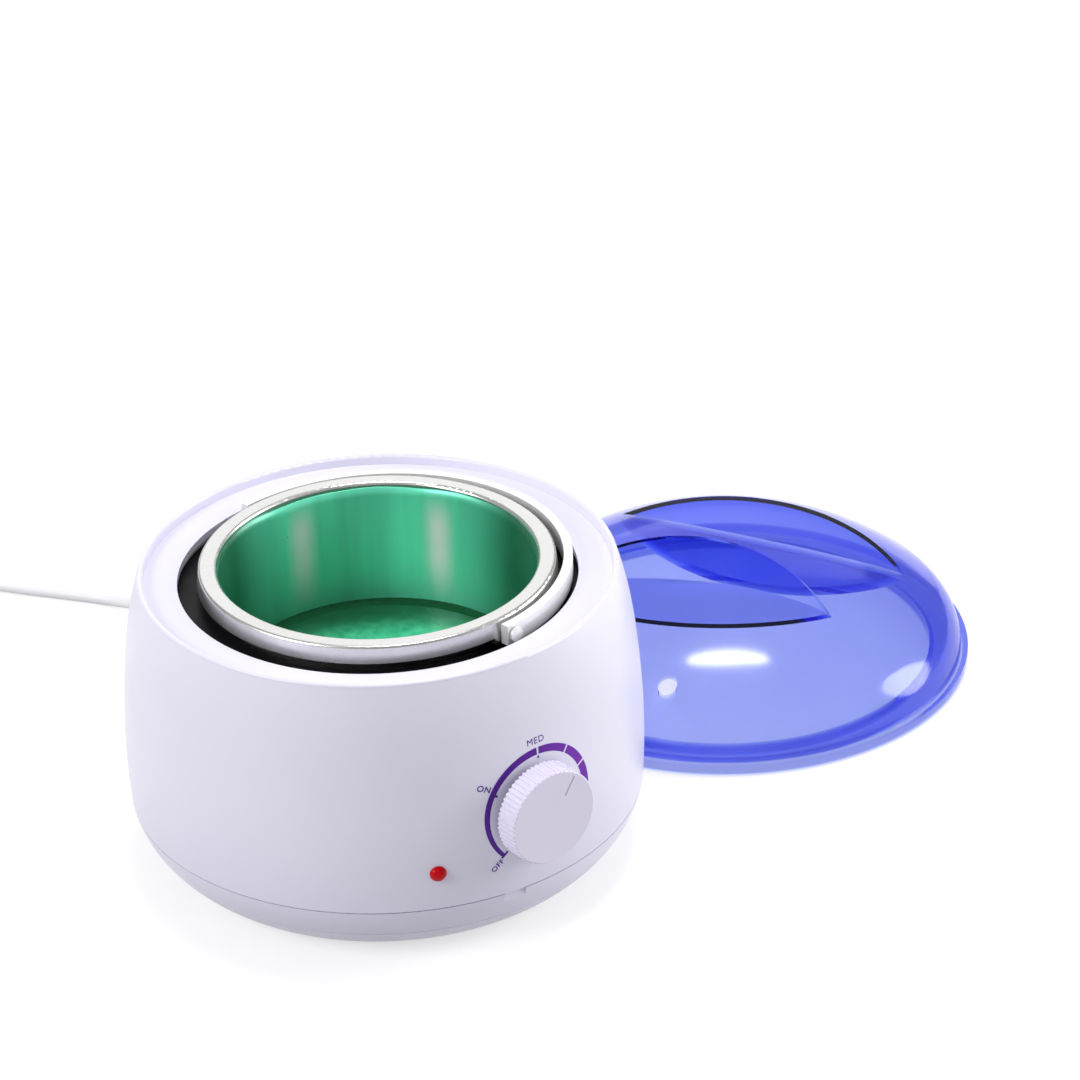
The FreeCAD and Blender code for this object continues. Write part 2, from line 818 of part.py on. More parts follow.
def make_thermal_fuse():
    place = V(0, -well_outer_radius - fuse_radius, fuse_low)
    return at_bearing(cylinder(fuse_radius, fuse_length, place), fuse_bearing)


def make_fuse_clip():
    """A strap over the fuse with both feet on the well."""
    low = fuse_low + fuse_length / 2 - clip_height / 2
    middle = well_outer_radius + fuse_radius
    far = middle + fuse_radius + clip_wall
    near = well_outer_radius - fuse_radius
    clip = block((-clip_width / 2, -far, low), (clip_width / 2, -near, low + clip_height))
    room = block((-fuse_radius, -middle, low), (fuse_radius, -near, low + clip_height))
    fuse = cylinder(fuse_radius, clip_height, V(0, -middle, low))
    well = cylinder(well_outer_radius, clip_height, V(0, 0, low))
    return at_bearing(clip.cut([room.fuse(fuse), well]), fuse_bearing)


# Thermostat behind the wall, its shaft and the knob
def make_thermostat_body():
    half = thermostat_width / 2
    body = block((-half, -stat_front, knob_height - half),
                 (half, -stat_front + thermostat_depth, knob_height + half))
    bore_start = V(0, -stat_front + shaft_bury, knob_height)
    body = body.cut(cylinder(shaft_radius + shaft_fit, shaft_bury, bore_start, FRONT))
    return body.translated(knob_shift)


def make_thermostat_bracket():
    half = stat_bracket_width / 2
    plate = block((-half, -stat_bracket_front, knob_height - thermostat_width / 2),
                  (half, -stat_front, knob_height + thermostat_width / 2))
    depth = 2 * stat_bracket_thickness
    shaft_start = V(0, -stat_front + stat_bracket_thickness / 2, knob_height)
    holes = [cylinder(shaft_radius + shaft_hole_clearance, depth, shaft_start, FRONT)]
    for side in (-1, 1):
        screw_start = shaft_start + V(side * stat_screw_spread, 0, 0)
        holes.append(cylinder(stat_screw_radius, depth, screw_start, FRONT))
    return plate.cut(holes).translated(knob_shift)


def make_thermostat_screws():
    screws = []
    seat = stat_head_seat()
    for side in (-1, 1):
        x = side * stat_screw_spread
        shank = cylinder(stat_screw_radius, seat - stat_front, V(x, -stat_front, knob_height), FRONT)
        head = cylinder(stat_screw_head_radius, stat_screw_head_height, V(x, -seat, knob_height), FRONT)
        screws.append(shank.fuse(head).translated(knob_shift))
    return Part.makeCompound(screws)


def make_thermostat_shaft():
    start = stat_front - shaft_bury
    length = knob_back + shaft_grip - start
    shaft = cylinder(shaft_radius, length, V(0, -start, knob_height), FRONT)
    return shaft.cut(shaft_flat_cut()).translated(knob_shift)


def shaft_flat_cut():
    """The flat that keeps the knob from slipping on the shaft."""
    return block((shaft_flat, -knob_back - shaft_grip, knob_height - 2 * shaft_radius),
                 (2 * shaft_radius, -knob_back, knob_height + 2 * shaft_radius))


def make_control_knob():
    cone = Part.makeCone(knob_radius, knob_face_radius, knob_depth)
    top_edges = [e for e in cone.Edges if e.BoundBox.ZMin > knob_depth - 0.01 and len(e.Vertexes) == 1]
    knob = cone.makeFillet(knob_round, top_edges)
    slope = V(knob_face_radius - knob_radius, 0, knob_depth)
    grooves = []
    for index in range(knob_grooves):
        groove = cylinder(knob_groove_radius, 2 * knob_depth, V(knob_radius, 0, 0) - slope * 0.5, slope)
        grooves.append(groove.rotated(ORIGIN, UP, index * 360.0 / knob_grooves))
    knob = knob.cut(grooves)
    room = knob_depth - knob_cap
    knob = knob.cut(ring(knob_radius - knob_wall, knob_hub_radius, 0, room))
    pointer = block((-pointer_width / 2, pointer_inner, knob_depth - pointer_depth),
                    (pointer_width / 2, pointer_outer, 2 * knob_depth))
    knob = knob.cut(pointer.rotated(ORIGIN, UP, -pointer_angle))
    knob = facing_front(knob, knob_back, knob_height)
    bore = cylinder(shaft_radius, shaft_grip, V(0, -knob_back, knob_height), FRONT)
    return knob.cut(bore.cut(shaft_flat_cut())).translated(knob_shift)


# Pilot lamp: red lens in the wall and its holder behind
def lamp_front():
    return radius_at(shell_outline(), lamp_height) + lamp_proud


def make_indicator_lens():
    back = radius_at(shell_outline(), lamp_height) - socket_setback
    length = lamp_front() - back
    top = length + lamp_dome
    ball = (lamp_radius ** 2 + lamp_dome ** 2) / (2 * lamp_dome)
    angle = math.asin(lamp_radius / ball) / 2
    middle = (ball * math.sin(angle), top - ball + ball * math.cos(angle))
    edges = lines(((0, top), (0, 0), (lamp_radius, 0), (lamp_radius, length)))
    edges.append(arc((lamp_radius, length), middle, (0, top)))
    return at_bearing(facing_front(turned(edges), back, lamp_height), lamp_bearing)


def make_indicator_socket():
    front = radius_at(shell_outline(), lamp_height) - socket_setback
    place = V(0, -front + socket_length, lamp_height)
    return at_bearing(cylinder(socket_radius, socket_length, place, FRONT), lamp_bearing)


# Terminal block, cord clamp and the wires on the base's floor
def make_terminal_block():
    block_top = base_floor_top + terminal_height
    body = block((-terminal_length / 2, terminal_setback, base_floor_top),
                 (terminal_length / 2, terminal_setback + terminal_width, block_top))
    holes = [cylinder(terminal_screw_radius, terminal_screw_depth, place) for place in terminal_places()]
    return body.cut(holes)


def terminal_places():
    low = base_floor_top + terminal_height - terminal_screw_depth
    return [V(step * terminal_pitch, terminal_setback + terminal_width / 2, low) for step in (-1, 0, 1)]


def make_terminal_screws():
    height = terminal_screw_depth + terminal_screw_proud
    screws = []
    for place in terminal_places():
        slot = block((-terminal_screw_radius, -terminal_slot_width / 2, height - terminal_slot_width),
                     (terminal_screw_radius, terminal_slot_width / 2, height))
        screws.append(cylinder(terminal_screw_radius, height, place).cut(slot.translated(place)))
    return Part.makeCompound(screws)


def clamp_block_middle():
    """How far back the cord clamp stands."""
    return terminal_setback + terminal_width + clamp_block_gap + clamp_block_width / 2


def make_cord_clamp():
    middle = clamp_block_middle()
    top = tail_low + clamp_block_top
    body = block((-clamp_block_length / 2, middle - clamp_block_width / 2, base_floor_top),
                 (clamp_block_length / 2, middle + clamp_block_width / 2, top))
    bore_start = V(0, middle - clamp_block_width / 2, tail_low)
    cuts = [cylinder(cord_radius, clamp_block_width, bore_start, V(0, 1, 0))]
    for side in (-1, 1):
        cuts.append(cylinder(clamp_block_screw_radius, top - base_floor_top,
                             V(side * clamp_block_spread, middle, base_floor_top)))
    return body.cut(cuts)


def make_clamp_screws():
    screws = []
    top = tail_low + clamp_block_top
    low = base_floor_top - clamp_block_bite
    for side in (-1, 1):
        place = V(side * clamp_block_spread, clamp_block_middle(), low)
        shank = cylinder(clamp_block_screw_radius, top - low, place)
        head = cylinder(clamp_block_head_radius, clamp_block_head_height, place + V(0, 0, top - low))
        screws.append(shank.fuse(head))
    return Part.makeCompound(screws)


def make_wire(points, radii):
    return tube(bent_path(points, radii), points[0], points[1] - points[0], wire_radius)


def make_wire_live():
    """From the terminal block under the well and up to the thermostat."""
    y = -stat_front + thermostat_depth / 2
    points = [V(-terminal_pitch, terminal_setback, wire_low), V(-terminal_pitch, y, wire_low),
              V(-terminal_pitch, y, knob_height - thermostat_width / 2)]
    return make_wire(points, [wire_bend])


def make_wire_heater():
    """From the thermostat under the well and up to one end of the heater band."""
    y = -stat_front + thermostat_depth / 2
    rise = math.sqrt(wire_rise_radius ** 2 - wire_side ** 2)
    touch = math.sqrt(band_radius ** 2 - (wire_side - wire_radius) ** 2)
    points = [V(wire_inner_side, y, knob_height - thermostat_width / 2), V(wire_inner_side, y, wire_middle),
              V(wire_side, rise, wire_middle), V(wire_side, rise, wire_attach_height),
              V(wire_side, touch, wire_attach_height)]
    return make_wire(points, [wire_bend, wire_bend, wire_end_bend])


def make_wire_neutral():
    """From the back of the terminal block up to the other end of the heater band."""
    rise = math.sqrt(wire_rise_radius ** 2 - wire_side ** 2)
    touch = math.sqrt(band_radius ** 2 - (wire_side - wire_radius) ** 2)
    points = [V(-wire_side, terminal_setback + terminal_width, wire_low), V(-wire_side, rise, wire_low),
              V(-wire_side, rise, wire_attach_height), V(-wire_side, touch, wire_attach_height)]
    return make_wire(points, [wire_bend, wire_end_bend])


def make_wire_lamp():
    """From the terminal block under the well to the lamp's holder."""
    back = radius_at(shell_outline(), lamp_height) - socket_setback - socket_length
    turn = bearing_point(back - wire_lamp_setback, lamp_bearing, wire_lower)
    points = [V(terminal_pitch, terminal_setback, wire_lower), V(terminal_pitch, 0, wire_lower), turn,
              turn + V(0, 0, lamp_height - wire_lower), bearing_point(back, lamp_bearing, lamp_height)]
    return make_wire(points, [wire_bend, wire_bend, wire_end_bend])


# Cord gland and the cord's tail inside the body
def gland_tip():
    """How far from the axis the gland ends."""
    return belly_radius + gland_length


def make_cord_gland():
    inner = gland_wall() - shell_wall - gland_inner_gap
    outer = belly_radius + gland_flange_thickness
    outline = lines((
        (cord_radius, inner - gland_flange_thickness),
        (gland_flange_radius, inner - gland_flange_thickness),
        (gland_flange_radius, inner),
        (gland_neck_radius, inner),
        (gland_neck_radius, belly_radius),
        (gland_flange_radius, belly_radius),
        (gland_flange_radius, outer),
        (gland_neck_radius, outer),
        (gland_tip_radius, gland_tip()),
        (cord_radius, gland_tip()),
        (cord_radius, inner - gland_flange_thickness),
    ))
    return turned(outline).rotated(ORIGIN, V(1, 0, 0), -90).translated(V(0, 0, cord_height))


def make_cord_tail():
    start = V(0, gland_tip(), cord_height)
    points = [start, V(0, tail_drop, cord_height), V(0, tail_drop, tail_low),
              V(0, terminal_setback + terminal_width, tail_low)]
    return tube(bent_path(points, [tail_bend, tail_bend]), start, points[1] - start, cord_radius)


# Free cord: runs and tangent arcs along its route
def route_radii(points):
    radii = []
    for before, corner, after in zip(points, points[1:], points[2:]):
        incoming = corner - before
        outgoing = after - corner
        half_turn = incoming.getAngle(outgoing) / 2
        radii.append(bend_share * min(incoming.Length, outgoing.Length) / math.tan(half_turn))
    return radii


def route_points():
    """The route's points, with its first run straight out of the gland."""
    points = [V(side, gland_tip() + back, height) for side, back, height in cord_route]
    for point in points[:2]:
        point.z = cord_height
    return points


def make_power_cord():
    points = route_points()
    radii = route_radii(points)
    path = bent_path(points, radii)
    cord = tube(path, points[0], points[1] - points[0], cord_radius)
    share = cord.Volume / (math.pi * cord_radius ** 2 * path.Length)
    print("cord radii", [round(r, 1) for r in radii])
    print("cord length", round(path.Length, 1), "volume share", round(share, 4))
    return cord


# Coil: spirals in, climbs a layer in half a turn, spirals out and ends straight
def coil_path():
    """The coil's edges, and its end point and heading."""
    place, heading = coil_start()
    lead = place + heading * cord_diameter
    edges = [Part.LineSegment(place, lead).toShape()]
    place = lead
    radius = coil_radius
    step = coil_pitch / 4
    for quarter in range(coil_quarter_count):
        edge, place, heading = quarter_turn(place, heading, radius)
        edges.append(edge)
        radius -= step
    climb, place, heading = climbing_half_turn(place, heading, radius)
    edges += climb
    for quarter in range(coil_quarter_count):
        radius += step
        edge, place, heading = quarter_turn(place, heading, radius)
        edges.append(edge)
    end = place + heading * coil_tail
    edges.append(Part.LineSegment(place, end).toShape())
    return edges, end, heading


def coil_start():
    """Where the coil begins, and its level heading there."""
    before, place = route_points()[-2:]
    heading = place - before
    heading.z = 0
    return place, heading.normalize()


def quarter_turn(place, heading, radius):
    """A level quarter turn to the right."""
    right = heading.cross(UP)
    centre = place + right * radius
    middle = centre + (heading - right) * (radius * math.sqrt(0.5))
    end = centre + heading * radius
    return Part.Arc(place, middle, end).toShape(), end, right


def climbing_half_turn(place, heading, radius):
    """A half turn to the right that climbs one layer, as two arcs that meet in line."""
    right = heading.cross(UP)
    end = place + right * (2 * radius) + UP * coil_layer_step
    reach = (end - place).Length / 2
    joint = (place + end) * 0.5 + heading * reach
    bow = math.sqrt(0.5)
    first_centre = (place + end) * 0.5
    first_middle = first_centre + (heading + (place - first_centre).normalize()) * (reach * bow)
    second_middle = first_centre + (heading + (end - first_centre).normalize()) * (reach * bow)
    edges = [Part.Arc(place, first_middle, joint).toShape(), Part.Arc(joint, second_middle, end).toShape()]
    return edges, end, heading * -1


def least_self_gap(wire):
    """The least gap between turns, measured on points along the path."""
    spacing = cord_radius / 2
    points = wire.discretize(Distance=spacing)
    skip = int(3 * cord_diameter / spacing)
    least = min((a - b).Length for i, a in enumerate(points) for b in points[i + skip:])
    return least - cord_diameter


def make_cord_coil():
    edges = coil_path()[0]
    path = Part.Wire(edges)
    start = coil_start()[0]
    coil = tube(path, start, edges[0].tangentAt(edges[0].FirstParameter), cord_radius)
    share = coil.Volume / (math.pi * cord_radius ** 2 * path.Length)
    print("coil length", round(path.Length, 1), "volume share", round(share, 4), "least gap",
          round(least_self_gap(path), 2))
    return coil


def make_cord_tie():
    """A flat strap round the coil's bundle, with its lower side on the table."""
    edges = coil_path()[0]
    crossing = edges[tie_quarter_count]
    middle = crossing.valueAt((crossing.FirstParameter + crossing.LastParameter) / 2)
    centre = coil_centre()
    outward = V(middle.x - centre.x, middle.y - centre.y, 0).normalize()
    turns = coil_quarter_count / 4
    near = coil_radius - coil_pitch * (turns + 0.75) - cord_radius
    far = coil_radius + coil_pitch / 2 + cord_radius + tie_clearance
    top = coil_lift + cord_diameter + coil_layer_step + tie_clearance
    outside = block((near - tie_wall, -tie_width / 2, 0), (far + tie_wall, tie_width / 2, top + tie_wall))
    inside = block((near, -tie_width / 2, tie_wall), (far, tie_width / 2, top))
    angle = math.degrees(math.atan2(outward.y, outward.x))
    return outside.cut(inside).rotated(ORIGIN, UP, angle).translated(centre)


def coil_centre():
    """The middle of the coil's first turn, on the table."""
    place, heading = coil_start()
    middle = place + heading * cord_diameter + heading.cross(UP) * coil_radius
    return V(middle.x, middle.y, 0)


# Plug: tapered relief, rounded body and two round pins
def plug_frame(shape):
    """A shape made along +X from the coil's end, put in its place."""
    end, heading = coil_path()[1:]
    angle = math.degrees(math.atan2(heading.y, heading.x))
    return shape.rotated(ORIGIN, UP, angle).translated(end)


def make_plug_body():
    half_height = coil_lift + cord_radius + coil_layer_step
    relief = Part.makeCone(plug_relief_tip, plug_relief_root, plug_relief_length, ORIGIN, V(1, 0, 0))
    body = block((plug_relief_length, -plug_width / 2, -half_height),
                 (plug_relief_length + plug_length, plug_width / 2, half_height))
    long_edges = [e for e in body.Edges if e.BoundBox.XLength > plug_length / 2]
    body = body.makeFillet(plug_round, long_edges)
    return plug_frame(relief.fuse(body).removeSplitter())


def make_plug_pins():
    start = plug_relief_length + plug_length
    pins = []
    for side in (-1, 1):
        place = V(start, side * pin_spacing / 2, 0)
        pin = cylinder(pin_radius, pin_length - pin_radius, place, V(1, 0, 0))
        tip = Part.makeSphere(pin_radius, V(start + pin_length - pin_radius, side * pin_spacing / 2, 0))
        pins.append(plug_frame(pin.fuse(tip).removeSplitter()))
    return Part.makeCompound(pins)


# Lid: domed cover with a finger bar between two scoops, lying on the table
def dome(inset):
    """The dome's solid: a round shoulder and a flatter crown that meet in line, drawn in by an inset."""
    shoulder_middle = lid_radius - lid_step - lid_shoulder
    rise = lid_height - lid_band_height
    crown = (shoulder_middle ** 2 + rise ** 2 - lid_shoulder ** 2) / (2 * (rise - lid_shoulder))
    crown_middle = lid_height - crown
    meet = math.atan2(lid_band_height - crown_middle, shoulder_middle)
    shoulder = lid_shoulder - inset
    top = crown - inset

    def on_shoulder(angle):
        return (shoulder_middle + shoulder * math.cos(angle), lid_band_height + shoulder * math.sin(angle))

    def on_crown(angle):
        return (top * math.cos(angle), crown_middle + top * math.sin(angle))

    edges = [
        arc(on_shoulder(0), on_shoulder(meet / 2), on_shoulder(meet)),
        arc(on_shoulder(meet), on_crown((meet + math.pi / 2) / 2), (0, crown_middle + top)),
        line((0, crown_middle + top), (0, lid_band_height)),
        line((0, lid_band_height), on_shoulder(0)),
    ]
    return turned(edges)


def scoops(grow):
    """The two finger scoops, each a lens on a floor that climbs outward and falls along the bar, grown by a wall."""
    tools = []
    height = 2 * lid_height
    reach = 2 * lid_radius
    for side in (-1, 1):
        middle = side * (lid_scoop_radius + lid_bar_half_width)
        lens = cylinder(lid_scoop_radius + grow, height, V(0, middle, 0))
        above = block((-reach, -reach, -grow), (reach, reach, height))
        above.rotate(ORIGIN, V(1, 0, 0), side * lid_scoop_slope)
        above.rotate(ORIGIN, V(0, 1, 0), side * lid_scoop_fall)
        above.translate(V(0, side * lid_bar_half_width, lid_scoop_floor))
        tools.append(lens.common(above))
    return tools


def make_lid():
    ledge_top = lid_seat_drop + lid_wall
    rib_outer = rim_radius - rim_wall - lid_fit
    outside = cylinder(lid_radius, lid_band_height, ORIGIN).fuse(dome(0)).cut(scoops(0))
    inside = dome(lid_wall).cut(scoops(lid_wall) + [cylinder(lid_radius, ledge_top, ORIGIN)])
    mouth = cylinder(rib_outer - lid_rib_wall, ledge_top, ORIGIN)
    channel = ring(lid_radius - lid_wall, rib_outer, 0, lid_seat_drop)
    vent_place = V(lid_vent_reach * math.cos(math.radians(lid_vent_bearing)),
                   lid_vent_reach * math.sin(math.radians(lid_vent_bearing)), 0)
    vent = cylinder(lid_vent_radius, 2 * lid_height, vent_place)
    lid = outside.cut([inside, mouth, channel, vent])
    return lid.rotated(ORIGIN, UP, lid_turn).translated(lid_place)


nodes = {
    "outer_shell": make_outer_shell,
    "base_cover": make_base_cover,
    "foot_ring": make_foot_ring,
    "base_screws": make_base_screws,
    "heater_well": make_heater_well,
    "well_gasket": make_well_gasket,
    "well_bracket": make_well_bracket,
    "bracket_screws": make_bracket_screws,
    "heater_band": make_heater_band,
    "band_clamp": make_band_clamp,
    "band_screw": make_band_screw,
    "thermal_fuse": make_thermal_fuse,
    "fuse_clip": make_fuse_clip,
    "thermostat_body": make_thermostat_body,
    "thermostat_bracket": make_thermostat_bracket,
    "thermostat_screws": make_thermostat_screws,
    "thermostat_shaft": make_thermostat_shaft,
    "control_knob": make_control_knob,
    "indicator_lens": make_indicator_lens,
    "indicator_socket": make_indicator_socket,
    "terminal_block": make_terminal_block,
    "terminal_screws": make_terminal_screws,
    "cord_clamp": make_cord_clamp,
    "clamp_screws": make_clamp_screws,
    "wire_live": make_wire_live,
    "wire_heater": make_wire_heater,
    "wire_neutral": make_wire_neutral,
    "wire_lamp": make_wire_lamp,
    "cord_gland": make_cord_gland,
    "cord_tail": make_cord_tail,
    "power_cord": make_power_cord,
    "cord_coil": make_cord_coil,
    "cord_tie": make_cord_tie,
    "plug_body": make_plug_body,
    "plug_pins": make_plug_pins,
    "inner_pot": make_inner_pot,
    "wax_fill": make_wax_fill,
    "bail_handle": make_bail_handle,
    "bail_rivets": make_bail_rivets,
    "lid": make_lid,
}

os.makedirs("parts", exist_ok=True)
for name, make in nodes.items():
    shape = make()
    shape.exportStep("parts/" + name + ".step")
    closed = all(solid.isClosed() for solid in shape.Solids)
    print(name, "solids", len(shape.Solids), "valid", shape.isValid(), "closed", closed,
          "volume", round(shape.Volume, 1))
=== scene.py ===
import bpy
import json
import math
from mathutils import Matrix, Vector
from mathutils.bvhtree import BVHTree


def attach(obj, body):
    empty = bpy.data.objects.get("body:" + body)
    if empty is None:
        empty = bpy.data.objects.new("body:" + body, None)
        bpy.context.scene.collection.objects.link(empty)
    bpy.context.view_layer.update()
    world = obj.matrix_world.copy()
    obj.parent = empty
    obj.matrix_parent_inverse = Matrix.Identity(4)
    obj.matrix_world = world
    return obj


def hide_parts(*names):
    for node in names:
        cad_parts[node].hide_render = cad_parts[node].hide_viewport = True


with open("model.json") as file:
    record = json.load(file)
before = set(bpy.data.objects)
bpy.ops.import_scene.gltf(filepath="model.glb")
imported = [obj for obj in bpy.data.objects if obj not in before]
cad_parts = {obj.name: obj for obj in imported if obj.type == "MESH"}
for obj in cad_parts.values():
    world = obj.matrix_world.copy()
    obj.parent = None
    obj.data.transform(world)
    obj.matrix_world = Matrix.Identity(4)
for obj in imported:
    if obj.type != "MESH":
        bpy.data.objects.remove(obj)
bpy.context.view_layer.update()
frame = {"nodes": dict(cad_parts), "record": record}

# Driving values, in metres and degrees unless a name says otherwise
MM = 0.001
UP = Vector((0, 0, 1))
BODY = "warmer_body"

camera_place = Vector((-0.6560, -0.9603, 0.7416))
camera_heading = 37.0
camera_pitch = 28.48
camera_roll = 1.53
camera_lens_mm = 133.33
camera_sensor_mm = 36.0
camera_near = 0.05
camera_far = 20.0

cord_radius = 2.25 * MM
coil_radius = 32.0 * MM
coil_pitch = 5.2 * MM
coil_layer_step = 5.1 * MM
coil_quarters = 9
coil_tail = 22.0 * MM
points_per_quarter = 4
cord_route = (
    (0.0, 0.11565, 0.031),
    (0.0, 0.130, 0.031),
    (0.0044, 0.1455, 0.0256),
    (0.0108, 0.161, 0.0154),
    (0.0154, 0.177, 0.006),
    (0.0122, 0.1935, 0.00225),
    (0.0026, 0.2075, 0.00225),
    (-0.0129, 0.228, 0.00225),
    (-0.03103, 0.25305, 0.00375),
    (-0.0475, 0.2757, 0.00375),
)

dial_side = -0.4 * MM
dial_height = 52.4 * MM
dial_radius = 21.0 * MM
dial_cold_end = -134.0
dial_hot_end = 128.0
dial_cold_width = 1.35 * MM
dial_hot_width = 3.35 * MM
dial_marks = (dial_cold_end, 0.0, 36.0, 65.5, dial_hot_end)
dial_mark_gap = 1.0
dial_step = 1.5
letter_spacing = 1.12
cap_height_share = 0.7
print_lift = 0.06 * MM
in_front_of_wall = -0.2

pot_floor_radius = 51.3 * MM
pot_wall_start = 46.4 * MM
pot_mouth_radius = 53.4 * MM
pot_rim_height = 106.5 * MM
wax_level = 61.0 * MM
wax_reach = 51.0 * MM
film_thickness = 0.35 * MM
film_top = 104.7 * MM
film_lip_rise = 0.12 * MM
film_lip_gap = 0.02 * MM
# Bearing of the pot's back, where the film is painted lit and the pool painted shaded
painted_light_bearing = 58.0
# Spread and half width of the two painted highlight runs at the pot's back
highlight_spread = 23.3 * MM
highlight_half_width = 6.5 * MM
pool_edge_reach = 3.0 * MM
pool_edge_rise = 1.4 * MM
pool_edge_lift = 0.03 * MM
pool_edge_gap = 0.2 * MM

# Waves of the film's top edge: height, how many go round the pot, and shift in radians
film_waves = (
    (0.35 * MM, 3, 0.6),
    (0.20 * MM, 7, 0.0),
    (0.12 * MM, 13, 2.0),
)

noise_low = 0.3
noise_high = 0.7

floor_half = 6.0
floor_glow = 0.62
floor_white_from = 3.0
floor_dim_within = 0.6
world_strength = 0.37
light_target = Vector((0.05, 0.0, 0.05))


# Camera at the photograph's viewing angle
def make_camera():
    """The camera, turned by its heading, pitched down and rolled."""
    data = bpy.data.cameras.new("camera")
    data.sensor_width = camera_sensor_mm
    data.lens = camera_lens_mm
    data.clip_start = camera_near
    data.clip_end = camera_far
    turn = math.radians(camera_heading)
    pitch = math.radians(camera_pitch)
    roll = math.radians(camera_roll)
    level = Vector((math.cos(turn), -math.sin(turn), 0))
    ahead = Vector((math.sin(turn), math.cos(turn), 0))
    forward = ahead * math.cos(pitch) - UP * math.sin(pitch)
    down = -ahead * math.sin(pitch) - UP * math.cos(pitch)
    right = level * math.cos(roll) + down * math.sin(roll)
    up = level * math.sin(roll) - down * math.cos(roll)
    matrix = Matrix((right, up, -forward)).transposed().to_4x4()
    matrix.translation = camera_place
    camera = bpy.data.objects.new("camera", data)
    camera.matrix_world = matrix
    bpy.context.collection.objects.link(camera)
    bpy.context.scene.camera = camera


make_camera()


# Node helpers for the materials
def new_material(name):
    """A material with its node tree, its shader and the place on the object."""
    material = bpy.data.materials.new(name)
    material.use_nodes = True
    tree = material.node_tree
    shader = tree.nodes["Principled BSDF"]
    place = tree.nodes.new("ShaderNodeTexCoord")
    return material, tree, shader, place.outputs["Object"]


def noise(tree, place, scale, detail=3.0, stretch=(1, 1, 1)):
    """A noise value from 0 to 1 over the surface."""
    mapping = tree.nodes.new("ShaderNodeMapping")
    mapping.inputs["Scale"].default_value = stretch
    texture = tree.nodes.new("ShaderNodeTexNoise")
    texture.inputs["Scale"].default_value = scale
    texture.inputs["Detail"].default_value = detail
    tree.links.new(place, mapping.inputs["Vector"])
    tree.links.new(mapping.outputs["Vector"], texture.inputs["Vector"])
    return texture.outputs["Fac"]


def span(tree, value, low, high):
    """Maps a value from the noise's middle range to low and high."""
    node = tree.nodes.new("ShaderNodeMapRange")
    node.inputs["From Min"].default_value = noise_low
    node.inputs["From Max"].default_value = noise_high
    node.inputs["To Min"].default_value = low
    node.inputs["To Max"].default_value = high
    tree.links.new(value, node.inputs["Value"])
    return node.outputs["Result"]


def ramp(tree, value, low, high, start=0.0):
    """A smooth step from start at low to 1 at high."""
    node = tree.nodes.new("ShaderNodeMapRange")
    node.interpolation_type = "SMOOTHSTEP"
    node.inputs["From Min"].default_value = low
    node.inputs["From Max"].default_value = high
    node.inputs["To Min"].default_value = start
    tree.links.new(value, node.inputs["Value"])
    return node.outputs["Result"]


def along(tree, place, axis, low, high):
    """A value that goes from 0 to 1 between two places on one axis."""
    parts = tree.nodes.new("ShaderNodeSeparateXYZ")
    tree.links.new(place, parts.inputs["Vector"])
    return ramp(tree, parts.outputs[axis], low, high)


def toward(tree, place, bearing):
    """How far a point lies along a level direction, in metres."""
    turn = math.radians(bearing)
    node = tree.nodes.new("ShaderNodeVectorMath")
    node.operation = "DOT_PRODUCT"
    node.inputs[1].default_value = (math.cos(turn), math.sin(turn), 0)
    tree.links.new(place, node.inputs[0])
    return node.outputs["Value"]


def from_axis(tree, place):
    """How far a point lies from the upright axis, in metres."""
    flat = tree.nodes.new("ShaderNodeMapping")
    flat.inputs["Scale"].default_value = (1, 1, 0)
    length = tree.nodes.new("ShaderNodeVectorMath")
    length.operation = "LENGTH"
    tree.links.new(place, flat.inputs["Vector"])
    tree.links.new(flat.outputs["Vector"], length.inputs[0])
    return length.outputs["Value"]


def math_node(tree, operation, first, second=None, clamp=False):
    """A math node on an output, with an output or a number as its second input."""
    node = tree.nodes.new("ShaderNodeMath")
    node.operation = operation
    node.use_clamp = clamp
    tree.links.new(first, node.inputs[0])
    if isinstance(second, float):
        node.inputs[1].default_value = second
    elif second is not None:
        tree.links.new(second, node.inputs[1])
    return node.outputs["Value"]


def plus(tree, first, second):
    """The sum of two outputs, held at 1."""
    return math_node(tree, "ADD", first, second, clamp=True)


def times(tree, first, second):
    """The product of two outputs."""
    return math_node(tree, "MULTIPLY", first, second)


def blend_colours(tree, value, first, second):
    """A colour between two, by a value."""
    node = tree.nodes.new("ShaderNodeMix")
    node.data_type = "RGBA"
    node.inputs["A"].default_value = (*first, 1)
    node.inputs["B"].default_value = (*second, 1)
    tree.links.new(value, node.inputs["Factor"])
    return node.outputs["Result"]


def shades(tree, value, colour, share):
    """A colour that goes, by a value, to the same colour times a share."""
    return blend_colours(tree, value, colour, [share * part for part in colour])


def mixed(tree, value, first, second):
    """A mix of two colour outputs, by a value."""
    node = tree.nodes.new("ShaderNodeMix")
    node.data_type = "RGBA"
    tree.links.new(first, node.inputs["A"])
    tree.links.new(second, node.inputs["B"])
    tree.links.new(value, node.inputs["Factor"])
    return node.outputs["Result"]


def add_gloss(tree, shader, place, scale, low, high):
    """Roughness that wanders between low and high over the surface."""
    tree.links.new(span(tree, noise(tree, place, scale), low, high), shader.inputs["Roughness"])


def add_bump(tree, shader, value, strength, depth):
    """Fine relief from a value."""
    node = tree.nodes.new("ShaderNodeBump")
    node.inputs["Strength"].default_value = strength
    node.inputs["Distance"].default_value = depth
    tree.links.new(value, node.inputs["Height"])
    tree.links.new(node.outputs["Normal"], shader.inputs["Normal"])


